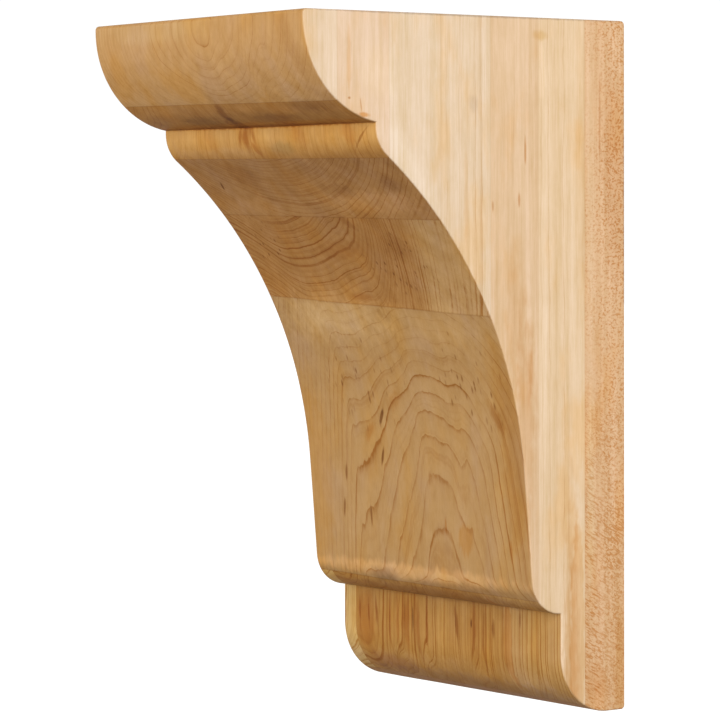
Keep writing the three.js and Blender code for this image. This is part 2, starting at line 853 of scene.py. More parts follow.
@dataclass(frozen=True)
class LaminatedWood:
    """The bare, sanded wood of the glued-up blank.

    Attributes:
        right: the block's right-hand side, in mm.
        top: the block's top, in mm.
        seams: the joints, from the wall outwards.
        boards: the boards, from the wall outwards, one more than there are seams.
        marks: streaks, stains and smudges.
        flecked: where the wood is full of mineral flecks.
        faint: where the rings hardly show.
        tone: its changes of tone.
        rings: its annual rings.
        flecks: its mineral flecks.
        rays: its rays.
        fibres: the sanded surface's fine relief.
        glue: what the wood's colour is multiplied by along a joint.
        glue_shown: how much of that shows on the front, and how much less on a side.
        crosscut_and_shade_tint: what it is multiplied by where the wood is cut across, partly end grain and
            partly painted shade on surfaces that face down.
        faintness: how much of the rings is lost where they are faint.
        fraying: how uneven the rims of marks and patches are.
        back_tone: how much of the sides' colour the back has, which keeps the front's painted shade off it.
        sideways: how far a surface turns to a side from where it starts to count as one.
        rim: the distances from a side, in mm, over which the front's rim counts as part of it, which paints a
            highlight along the eased edges.
        back: the depths over which a surface counts as the back, in mm.
        top_edge: the drops over which the marks on the front begin, in mm.
        level: how level a surface is from where its fibres start to end at it.
        facing_up: how far up the top faces, and how much less it darkens than the underside, whose extra
            darkening is painted shade.
        roughness: the mean roughness, and how much the fibres change it.
        relief: the strength and the height of the fibres' relief.
        shine: the strength of its shine.
    """

    right: float
    top: float
    seams: tuple[Seam, ...]
    boards: tuple[Board, ...]
    marks: tuple[Mark, ...]
    flecked: tuple[Patch, ...]
    faint: tuple[Patch, ...]
    tone: Tone = Tone()
    rings: Rings = Rings()
    flecks: Flecks = Flecks()
    rays: Rays = Rays()
    fibres: Grain = Grain((2.2, 2.2, 0.09), 3.0, 0.6)
    glue: Colour = (0.72, 0.62, 0.50)
    glue_shown: Span = (0.5, 0.3)
    crosscut_and_shade_tint: Colour = (0.62, 0.52, 0.40)
    faintness: float = 0.65
    fraying: float = 0.9
    back_tone: float = 0.5
    sideways: Span = (0.25, 0.7)
    rim: Span = (1.5, 0.3)
    back: Span = (3.0, 0.5)
    top_edge: Span = (0.1, 2.5)
    level: Span = (0.15, 0.95)
    facing_up: Span = (0.6, 0.55)
    roughness: Span = (0.55, 0.12)
    relief: Span = (0.08, 0.2 * MM)
    shine: float = 0.1

    def place(self, graph: Graph) -> Place:
        """Reads the position and the facing of the point that is shaded."""
        coordinates = graph.add("ShaderNodeTexCoord", {}, {}).out("Object")
        spot = graph.vector("MULTIPLY", coordinates, (1.0 / MM, 1.0 / MM, 1.0 / MM))
        parts = graph.add("ShaderNodeSeparateXYZ", {}, {"Vector": spot})
        x, depth, drop = parts.out("X"), -parts.out("Y"), self.top - parts.out("Z")
        facing = graph.add("ShaderNodeNewGeometry", {}, {}).out("Normal")
        turned = graph.add("ShaderNodeSeparateXYZ", {}, {"Vector": facing})
        sideways, up = abs(turned.out("X")), turned.out("Z")
        # Painted highlight: the front's rim beside a side takes some of the side's paler colour
        painted_rim_highlight = abs(x).rise(self.right - self.rim[0], self.right - self.rim[1])
        on_side = sideways.rise(*self.sideways).higher_of(painted_rim_highlight * 0.5)
        on_back = depth.rise(*self.back)
        off_front = 1.0 - (1.0 - on_side) * (1.0 - on_back) * drop.rise(*self.top_edge)
        off_right = 1.0 - on_side * (x > 0.0)
        front = {"X": x, "Y": drop, "Z": off_front * OUT_OF_REACH}
        right = {"X": depth, "Y": drop, "Z": off_right * OUT_OF_REACH}
        down = {"X": drop, "Y": drop, "Z": drop}
        return Place(
            spot=spot,
            x=x,
            depth=depth,
            drop=drop,
            on_front=graph.add("ShaderNodeCombineXYZ", {}, front).out("Vector"),
            on_right=graph.add("ShaderNodeCombineXYZ", {}, right).out("Vector"),
            down=graph.add("ShaderNodeCombineXYZ", {}, down).out("Vector"),
            on_side=on_side,
            on_back=on_back,
            # End grain darkens, and surfaces that face down darken further as painted shade
            crosscut_and_underside_shade=abs(up).rise(*self.level) * (1.0 - (up > self.facing_up[0]) * self.facing_up[1]),
        )

    def blank(self, graph: Graph, place: Place, ahead: list[Wire]) -> Look:
        """What the blank looks like at a point, whichever board that is in.

        Args:
            graph: the graph to add to.
            place: the point.
            ahead: how far in front of each joint it lies, in mm.

        Returns:
            The look of the board that the point is in.
        """
        look = self.boards[0].look(graph, place)
        for board, distance in zip(self.boards[1:], ahead):
            past, further = distance > 0.0, board.look(graph, place)
            look = Look(
                rings=look.rings + past * (further.rings - look.rings),
                front=graph.mix(past, look.front, further.front),
                side=graph.mix(past, look.side, further.side),
                joint=look.joint + past * (further.joint - look.joint),
                strength=past * (further.strength - look.strength) + look.strength,
                uneven=past * (further.uneven - look.uneven) + look.uneven,
                rays=past * (further.rays - look.rays) + look.rays,
                thirst_and_shade=past * (further.thirst_and_shade - look.thirst_and_shade) + look.thirst_and_shade,
            )
        return look

    def glued(self, place: Place, ahead: list[Wire], joint: Wire) -> Wire:
        """How much of a glue line shows at a point.

        Args:
            place: the point.
            ahead: how far in front of each joint between boards it lies, in mm.
            joint: 1 close to a joint between two strips of a board.

        Returns:
            The strength, from 0 to 1.
        """
        nearest = abs(ahead[0])
        for distance in ahead[1:]:
            nearest = nearest.lower_of(abs(distance))
        line = nearest.rise(GLUE_REACH, GLUE_CORE).higher_of(joint)
        return line * (self.glue_shown[0] - place.on_side * self.glue_shown[1])

    def figure(self, graph: Graph, place: Place) -> Wire:
        """The wood's colour at a point.

        Args:
            graph: the graph to add to.
            place: the point.

        Returns:
            The colour.
        """
        ahead = [seam.ahead(place, self.right) for seam in self.seams]
        look = self.blank(graph, place, ahead)
        # The front's colour carries painted shade and the sides' colour a painted sheen; the back takes some
        # of the sides' colour
        colour = graph.mix(place.on_side.higher_of(place.on_back * self.back_tone), look.front, look.side)
        colour = self.tone.lay(graph, place, colour)

        wobble = self.rings.jags.around_zero(graph, place.spot) * self.fraying
        rings = self.rings.bend(graph, place, look.rings, wobble)
        line = self.rings.darkness(graph, place, rings, look.uneven) * look.strength
        line = line * (1.0 - place.on_side * self.rings.on_sides)
        for patch in self.faint:
            line = line * (1.0 - patch.cover(graph, place, wobble) * self.faintness)
        colour = graph.mix(line, colour, self.rings.late, Blend.MULTIPLY)

        flecked = place.x * 0.0 + self.flecks.elsewhere
        for patch in self.flecked:
            flecked = flecked.higher_of(patch.cover(graph, place, wobble))
        flecks = self.flecks.cover(graph, place) * flecked * (1.0 - place.on_side * self.flecks.on_sides)
        colour = graph.mix(flecks, colour, self.flecks.tint, Blend.MULTIPLY)
        rays = self.rays.cover(graph, place) * look.rays
        colour = graph.mix(rays, colour, self.rays.tint, Blend.MULTIPLY)
        for mark in self.marks:
            colour = graph.mix(mark.cover(graph, place, wobble), colour, mark.tint, Blend.MULTIPLY)

        # Wood that is cut across darkens, and surfaces that face down darken further as painted shade
        colour = graph.mix(place.crosscut_and_underside_shade * look.thirst_and_shade, colour, self.crosscut_and_shade_tint, Blend.MULTIPLY)
        return graph.mix(self.glued(place, ahead, look.joint), colour, self.glue, Blend.MULTIPLY)

    def material(self) -> bpy.types.Material:
        """Builds the material.

        Returns:
            The new material.
        """
        made = bpy.data.materials.new("laminated_wood")
        made.use_nodes = True
        graph = Graph(made.node_tree)
        place = self.place(graph)
        fibres = self.fibres.at(graph, place.spot)
        relief = {"Strength": self.relief[0], "Distance": self.relief[1], "Height": fibres}
        inputs = {
            "Base Color": self.figure(graph, place),
            "Roughness": (fibres - 0.5) * self.roughness[1] + self.roughness[0],
            "Specular IOR Level": self.shine,
            "Normal": graph.add("ShaderNodeBump", {}, relief).out("Normal"),
        }
        shader = graph.add("ShaderNodeBsdfPrincipled", {}, inputs).out("BSDF")
        graph.add("ShaderNodeOutputMaterial", {}, {"Surface": shader})
        return made


@dataclass
class Profile:
    """The block's side view: where its carved front lies at each height, in metres.

    Attributes:
        width: across the front.
        depth: from the wall to the crown's face.
        height: from the foot to the top.
        crown_flat: the crown's short upright face above the quarter round.
        ovolo_radius: the quarter round's radius.
        fillet_depth: the depth of the flat under the quarter round.
        shoulder_radius: the round from the fillet into the hollow.
        cove_radius: the long hollow's radius.
        neck_length: the straight stretch below the hollow.
        neck_lean: how far that stretch leans back from upright.
        lip_radius: the round at the neck's lower end.
        lip_drop: how far the lip's underside lies below the top.
        foot_depth: the foot panel's depth.
        foot_radius: the round at the foot's lower edge.
        corner_radius: the eased corners at the top, the foot and the wall.
        step: the longest side of a facet along the profile.
        corner_steps: the fewest facets in an arc.
    """

    width: float
    depth: float
    height: float
    crown_flat: float = 2.8 * MM
    ovolo_radius: float = 52 * MM
    fillet_depth: float = 159.5 * MM
    shoulder_radius: float = 18.5 * MM
    cove_radius: float = 230 * MM
    neck_length: float = 54 * MM
    neck_lean: float = math.radians(4.7)
    lip_radius: float = 19 * MM
    lip_drop: float = 303.1 * MM
    foot_depth: float = 42.8 * MM
    foot_radius: float = 31.5 * MM
    corner_radius: float = 2.2 * MM
    step: float = 2.0 * MM
    corner_steps: int = 4

    def arc(self, centre: Span, radius: float, start: float, end: float) -> list[Span]:
        """Points along an arc, as (depth, drop).

        Args:
            centre: the arc's centre, as (depth, drop).
            radius: its radius.
            start: the first angle, measured from straight out towards straight down.
            end: the last angle.

        Returns:
            The points, both ends included.
        """
        count = max(self.corner_steps, math.ceil(abs(end - start) * radius / self.step))
        angles = np.linspace(start, end, count + 1)
        return [(centre[0] + radius * math.cos(a), centre[1] + radius * math.sin(a)) for a in angles]

    def line(self, start: Span, end: Span) -> list[Span]:
        """Evenly spaced points strictly between two points."""
        count = math.ceil(math.dist(start, end) / self.step)
        along, down = end[0] - start[0], end[1] - start[1]
        shares = [i / count for i in range(1, count)]
        return [(start[0] + along * t, start[1] + down * t) for t in shares]

    def crown(self) -> list[Span]:
        """The eased top edge and the quarter round, down to the fillet."""
        corner = self.corner_radius
        centre = self.depth - self.ovolo_radius
        reach = math.acos((self.fillet_depth - centre) / self.ovolo_radius)
        edge = self.arc((self.depth - corner, corner), corner, -math.pi / 2, 0.0)
        return edge + self.arc((centre, self.crown_flat), self.ovolo_radius, 0.0, reach)

    def sweep(self) -> list[Span]:
        """The shoulder, the long hollow, the neck and the lip."""
        lean = self.neck_lean
        lip = (self.foot_depth, self.lip_drop - self.lip_radius)
        across = self.lip_radius + self.cove_radius
        cove = (
            lip[0] + across * math.cos(lean) + self.neck_length * math.sin(lean),
            lip[1] + across * math.sin(lean) - self.neck_length * math.cos(lean),
        )
        shoulder_depth = self.fillet_depth - self.shoulder_radius
        apart = self.shoulder_radius + self.cove_radius
        shoulder = (shoulder_depth, cove[1] - math.sqrt(apart**2 - (cove[0] - shoulder_depth) ** 2))
        turn = math.atan2(cove[1] - shoulder[1], cove[0] - shoulder[0])
        points = self.arc(shoulder, self.shoulder_radius, 0.0, turn)
        points += self.arc(cove, self.cove_radius, math.pi + turn, math.pi + lean)[1:]
        lip_arc = self.arc(lip, self.lip_radius, lean, math.pi / 2)
        return points + self.line(points[-1], lip_arc[0]) + lip_arc

    def foot(self) -> list[Span]:
        """The foot panel and its rounded lower edge."""
        top = (self.foot_depth, self.lip_drop)
        centre = (self.foot_depth - self.foot_radius, self.height - self.foot_radius)
        arc = self.arc(centre, self.foot_radius, 0.0, math.pi / 2)
        return self.line(top, arc[0]) + arc

    def rungs(self) -> list[Triple]:
        """Level lines across the side view, from the top down.

        Returns:
            For each line the depth of its front end, the depth of its back end and its drop.
        """
        front = self.crown() + self.sweep() + self.foot()
        corner = self.corner_radius
        low = self.height - corner
        turns = np.linspace(0.0, math.pi / 2, self.corner_steps + 1)[1:-1]
        extra = [low + corner * math.sin(a) for a in turns]
        ends = [p for p in front if p[1] <= low]
        tail = [p for p in front if p[1] > low]
        foot_centre = (self.foot_depth - self.foot_radius, self.height - self.foot_radius)
        for drop in extra:
            reach = math.sqrt(self.foot_radius**2 - (drop - foot_centre[1]) ** 2)
            tail.append((foot_centre[0] + reach, drop))
        tail.sort(key=lambda p: p[1])
        return [(depth, self.back(drop), drop) for depth, drop in ends + tail]

    def back(self, drop: float) -> float:
        """The depth of the back face at a drop, which is zero but for its two eased corners."""
        corner = self.corner_radius
        past = max(corner - drop, drop - (self.height - corner), 0.0)
        return corner - math.sqrt(max(corner**2 - past**2, 0.0))


@dataclass
class CorbelBlock:
    """The corbel itself, one block with a carved front and sanded edges.

    Attributes:
        profile: its side view.
        finish: the wood it is made of.
        ease: the radius of the rounded edges along the sides.
        ease_rows: facets across such an edge.
        columns: facets across the width.
        rungs_across: facets from the front to the wall on a side.
        waviness: how far sanding left the surface from its true place.
        waves: how many such waves there are in a metre.
        seed: the number that their random places start from.
        smooth_below: the turn between two facets from which an edge looks sharp.
    """

    profile: Profile
    finish: LaminatedWood
    ease: float = 0.9 * MM
    ease_rows: int = 4
    columns: int = 64
    rungs_across: int = 44
    waviness: float = 0.12 * MM
    waves: float = 28.0
    seed: int = 7
    smooth_below: float = math.radians(40)

    def outline(self) -> tuple[np.ndarray, np.ndarray]:
        """The side view as a grid, and the outward direction at its rim.

        Returns:
            The grid of (depth, z) points, with one row for each level line, and the same grid of
            outward directions, which is zero inside the rim.
        """
        rungs = self.profile.rungs()
        shares = np.linspace(0.0, 1.0, self.rungs_across + 1)
        top = self.profile.height / 2
        grid = np.array([[(f + (b - f) * t, top - drop) for t in shares] for f, b, drop in rungs])
        outward = np.zeros_like(grid)
        loop = self.rim(grid.shape[:2])
        points = np.array([grid[i, j] for i, j in loop])
        ahead = np.roll(points, -1, axis=0) - points
        ahead /= np.linalg.norm(ahead, axis=1)[:, None]
        normal = np.stack([-ahead[:, 1], ahead[:, 0]], axis=1)
        before = np.roll(normal, 1, axis=0)
        mitre = (normal + before) / (1.0 + (normal * before).sum(axis=1))[:, None]
        for (i, j), direction in zip(loop, mitre):
            outward[i, j] = direction
        return grid, outward

    def rim(self, shape: tuple[int, int]) -> list[tuple[int, int]]:
        """The grid's rim in order: down the front, along the foot, up the back and along the top."""
        rows, columns = shape
        down = [(i, 0) for i in range(rows)]
        foot = [(rows - 1, j) for j in range(1, columns)]
        up = [(i, columns - 1) for i in range(rows - 2, -1, -1)]
        top = [(0, j) for j in range(columns - 2, 0, -1)]
        return down + foot + up + top

    def build(self) -> bpy.types.Object:
        """Makes the block's mesh.

        Returns:
            The new object.
        """
        grid, outward = self.outline()
        loop = self.rim(grid.shape[:2])
        rim = np.array([grid[i, j] for i, j in loop])
        out = np.array([outward[i, j] for i, j in loop])
        half = self.profile.width / 2

        vertices: list[Triple] = []
        faces: list[tuple[int, ...]] = []

        # Rings of the outline: an eased edge, the whole width, and the other eased edge
        stations = []
        for k in range(self.ease_rows):
            angle = math.pi / 2 * k / self.ease_rows
            stations.append((half - self.ease * (1 - math.cos(angle)), self.ease * (1 - math.sin(angle))))
        inner = [(x, 0.0) for x in np.linspace(half - self.ease, self.ease - half, self.columns + 1)]
        stations = stations + inner + [(-x, inset) for x, inset in reversed(stations)]
        for x, inset in stations:
            ring = rim - out * inset
            vertices += [(x, -depth, z) for depth, z in ring]
        size = len(loop)
        for s in range(len(stations) - 1):
            a, b = s * size, (s + 1) * size
            for k in range(size):
                n = (k + 1) % size
                faces.append((a + k, a + n, b + n, b + k))

        # The two sides are filled with level strips that share the first and the last ring
        index = {place: k for k, place in enumerate(loop)}
        rows, columns = grid.shape[:2]
        for x, offset, turned in ((half, 0, False), (-half, (len(stations) - 1) * size, True)):
            number = np.zeros((rows, columns), dtype=int)
            for i in range(rows):
                start, end = rim[index[i, 0]], rim[index[i, columns - 1]]
                start = start - out[index[i, 0]] * self.ease
                end = end - out[index[i, columns - 1]] * self.ease
                for j in range(columns):
                    if (i, j) in index:
                        number[i, j] = offset + index[i, j]
                        continue
                    depth, z = start + (end - start) * (j / (columns - 1))
                    number[i, j] = len(vertices)
                    vertices.append((x, -depth, z))
            for i in range(rows - 1):
                for j in range(columns - 1):
                    face = (number[i, j], number[i, j + 1], number[i + 1, j + 1], number[i + 1, j])
                    faces.append(tuple(int(v) for v in (reversed(face) if turned else face)))

        noise.seed_set(self.seed)
        mesh = bpy.data.meshes.new("corbel_block")
        mesh.from_pydata([self.hand_sanded(Vector(v)) for v in vertices], [], faces)
        mesh.update()
        mesh.shade_smooth()
        mesh.set_sharp_from_angle(angle=self.smooth_below)
        block = bpy.data.objects.new("corbel_block", mesh)
        bpy.context.scene.collection.objects.link(block)
        return block

    def hand_sanded(self, point: Vector) -> Vector:
        """Moves a point by the slight waviness that hand sanding leaves.

        Args:
            point: where it lies on the true profile.

        Returns:
            The moved point.
        """
        away = min(-point.y / self.profile.corner_radius, 1.0)
        below = min((self.profile.height / 2 - point.z) / self.profile.corner_radius, 1.0)
        wave = noise.noise_vector(point * self.waves)
        return point + wave * self.waviness * max(away, 0.0) * max(below, 0.0)

    def dress(self) -> bpy.types.Object:
        """Builds the block, gives it its wood and sets it in the frame.

        Returns:
            The finished piece.
        """
        block = self.build()
        block.data.materials.append(self.finish.material())
        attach(block, "root")
        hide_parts("corbel")
        log.info("%s: %d faces", block.name, len(block.data.polygons))
        return block


@dataclass
class Studio:
    """The plain room, its light and the camera.

    Attributes:
        floor_drop: how far the floor lies below the origin.
        floor_radius: how far it reaches.
        floor_sides: the corners of its rim.
        floor_fade: the distances over which it brightens into the background.
        floor_tone: how pale it is close by, and how bright far off.
        eye: where the camera is.
        yaw: how far the camera looks to the left of straight ahead.
        pitch: how far it looks above level.
        roll: how far it is turned about its line of sight.
        lens: its focal length in mm.
        film: its film's width in mm.
        sky_light: the strength of the sky at the horizon, and how much weaker it is above.
        sky_fade: the heights over which it weakens.
        lamps: each lamp's name, place, power in watts and the length of its side.
    """

    floor_drop: float = 1.0
    floor_radius: float = 40.0
    floor_sides: int = 96
    floor_fade: Span = (1.0, 5.5)
    floor_tone: Span = (0.42, 0.85)
    eye: Triple = (1.41973, -1.14828, 0.07747)
    yaw: float = math.radians(53.5754)
    pitch: float = math.radians(-2.4104)
    roll: float = math.radians(-0.2163)
    lens: float = 169.446
    film: float = 36.0
    sky_light: Span = (1.05, 0.45)
    sky_fade: Span = (0.10, 0.35)
    lamps: tuple[tuple[str, Triple, float, float], ...] = (
        ("key", (2.2, -0.9, 0.9), 42.0, 1.2),
        ("front", (-0.7, -2.5, 0.35), 22.0, 1.4),
    )

    def camera(self) -> None:
        """Places the camera at the photograph's viewing angle."""
        side = Vector((math.cos(self.yaw), math.sin(self.yaw), 0.0))
        ahead = Vector((-math.sin(self.yaw), math.cos(self.yaw), 0.0)) * math.cos(self.pitch)
        ahead.z = math.sin(self.pitch)
        up = side.cross(ahead)
        turned_side = side * math.cos(self.roll) + up * math.sin(self.roll)
        turned_up = up * math.cos(self.roll) - side * math.sin(self.roll)
        axes = Matrix((turned_side, turned_up, -ahead)).transposed()
        data = bpy.data.cameras.new("camera")
        data.lens = self.lens
        data.sensor_width = self.film
        data.clip_start = 0.05
        data.clip_end = 200.0
        eye = bpy.data.objects.new("camera", data)
        eye.matrix_world = Matrix.Translation(self.eye) @ axes.to_4x4()
        bpy.context.scene.collection.objects.link(eye)
        bpy.context.scene.camera = eye

    def floor(self) -> None:
        """Lays a wide pale floor that brightens into the background."""
        mesh = bpy.data.meshes.new("floor")
        angles = np.linspace(0.0, 2 * math.pi, self.floor_sides, endpoint=False)
        circle = [(self.floor_radius * math.cos(a), self.floor_radius * math.sin(a)) for a in angles]
        rim = [(x, y, -self.floor_drop) for x, y in circle]
        mesh.from_pydata(rim, [], [tuple(range(self.floor_sides))])
        mesh.update()
        made = bpy.data.materials.new("pale_floor")
        made.use_nodes = True
        graph = Graph(made.node_tree)
        spot = graph.add("ShaderNodeTexCoord", {}, {}).out("Object")
        parts = graph.add("ShaderNodeSeparateXYZ", {}, {"Vector": spot})
        x, y = parts.out("X"), parts.out("Y")
        far = ((x * x + y * y) ** 0.5).rise(*self.floor_fade)
        pale, bright = self.floor_tone
        white = graph.mix(far, (0.0, 0.0, 0.0), (bright, bright, bright))
        inputs = {
            "Base Color": (pale, pale, pale),
            "Roughness": 0.9,
            "Emission Color": white,
            "Emission Strength": 1.0,
        }
        shader = graph.add("ShaderNodeBsdfPrincipled", {}, inputs).out("BSDF")
        graph.add("ShaderNodeOutputMaterial", {}, {"Surface": shader})
        mesh.materials.append(made)
        floor = bpy.data.objects.new("floor", mesh)
        bpy.context.scene.collection.objects.link(floor)

    def sky(self) -> None:
        """Surrounds the room with soft white light, weaker above the horizon's white band."""
        world = bpy.data.worlds.new("soft_white")
        world.use_nodes = True
        graph = Graph(world.node_tree)
        toward = graph.add("ShaderNodeTexCoord", {}, {}).out("Generated")
        height = graph.add("ShaderNodeSeparateXYZ", {}, {"Vector": toward}).out("Z")
        strength = self.sky_light[0] - height.rise(*self.sky_fade) * self.sky_light[1]
        light = {"Color": (1.0, 1.0, 1.0), "Strength": strength}
        shader = graph.add("ShaderNodeBackground", {}, light).out("Background")
        graph.add("ShaderNodeOutputWorld", {}, {"Surface": shader})
        bpy.context.scene.world = world

    def lamp(self, name: str, spot: Triple, power: float, size: float) -> None:
        """Hangs one soft square lamp that faces the corbel.

        Args:
            name: the lamp's name.
            spot: where it hangs.
            power: its power in watts.
            size: the length of its side.
        """
        data = bpy.data.lights.new(name, "AREA")
        data.energy = power
        data.size = size
        lamp = bpy.data.objects.new(name, data)
        lamp.location = spot
        lamp.rotation_euler = (-Vector(spot)).to_track_quat("-Z", "Y").to_euler()
        bpy.context.scene.collection.objects.link(lamp)

    def light(self) -> None:
        """Lights the corbel, most of all on its right-hand side."""
        self.sky()
        for name, spot, power, size in self.lamps:
            self.lamp(name, spot, power, size)
        view = bpy.context.scene.view_settings
        view.view_transform = "Standard"
        view.look = "None"

    def set_up(self) -> None:
        """Builds the whole studio."""
        self.camera()
        self.floor()
        self.light()
        log.info("studio: camera %.0f mm, floor %.1f m below", self.lens, self.floor_drop)


def corbel_boards() -> tuple[Board, ...]:
    """The boards of this blank, from the wall outwards."""
    # Each front colour is darkened with painted shade and each side colour is paler with a painted sheen; the
    # darkening where a board is cut across is partly painted shade on its undersides
    return (
        Board(60, -160, 2.4, (0.42, 0.21, 0.07), (0.588, 0.377, 0.210), 0.3, rays=1.15, thirst_and_shade=0.4),
        Board(
            -150, 190, 2.5, (0.40, 0.20, 0.046), (0.625, 0.455, 0.285), 1.5, 0.95, thirst_and_shade=0.4,
            ripples=(
                (-94, 6), (-83, 5), (-62, -2), (-50, 0), (-38, -2.6), (-26, -0.5), (-14, -3.4), (0, -2),
                (14, 1.6), (28, -1.8), (46, 0.5), (60, 3), (76, 1), (94, 3),
            ),
            staves=(
                Stave(-95.0, -82.8, 5.4, (1.35, 1.7, 2.6)),
                Stave(46.8, 95.0, 3.3, (1.11, 1.21, 1.5)),
            ),
        ),
        Board(
            5.8, -11.1, 2.4, (0.405, 0.23, 0.084), (0.59, 0.41, 0.25), 0.9, 0.45, thirst_and_shade=0.65,
            ripples=(
                (-94, -7), (-70, -5), (-54, -4.6), (-46, -1.9), (-38, 2.1), (-28, 5.4), (-14, 7.3), (2, 7.1),
                (11, 4.8), (19, 3.7), (25, 2.6), (31, 1.4), (36, 0.5), (41.5, -1.1), (48.5, -4.1), (56, -6.6),
                (76, -12), (94, -17),
            ),
        ),
        Board(
            -48, 178, 2.0, (0.38, 0.187, 0.053), (0.605, 0.455, 0.305), 1.55, 0.95, thirst_and_shade=0.4,
            ripples=(
                (-94, 5), (-80, 8), (-62, 6), (-40, 6.5), (-20, 3.8), (-4, -0.5), (4, -4), (18, -7.6),
                (30, -8), (50, -4), (70, -6), (94, -13),
            ),
            sap_from=125.5,
            sap=(0.455, 0.265, 0.10),
        ),
        Board(
            -8, 236, 2.0, (0.38, 0.192, 0.060), (0.61, 0.465, 0.32), 1.05, 0.6, thirst_and_shade=0.4,
            ripples=((-94, 0), (-50, 1), (0, 3.2), (30, 2), (60, -1), (94, -8)),
        ),
        Board(-123, 222, 3.3, (0.54, 0.285, 0.077), (0.60, 0.43, 0.285), 0.5, 0.8, thirst_and_shade=1.0),
        Board(
            8, 289, 2.3, (0.465, 0.255, 0.09), (0.60, 0.45, 0.305), 0.5, 0.45, thirst_and_shade=0.2,
            ripples=(
                (-94, 6), (-40, 2), (-22, 3), (-10, 1.5), (6, 0), (18, 1.6), (36, 2), (46, 5), (60, 2),
                (94, -6),
            ),
        ),
    )


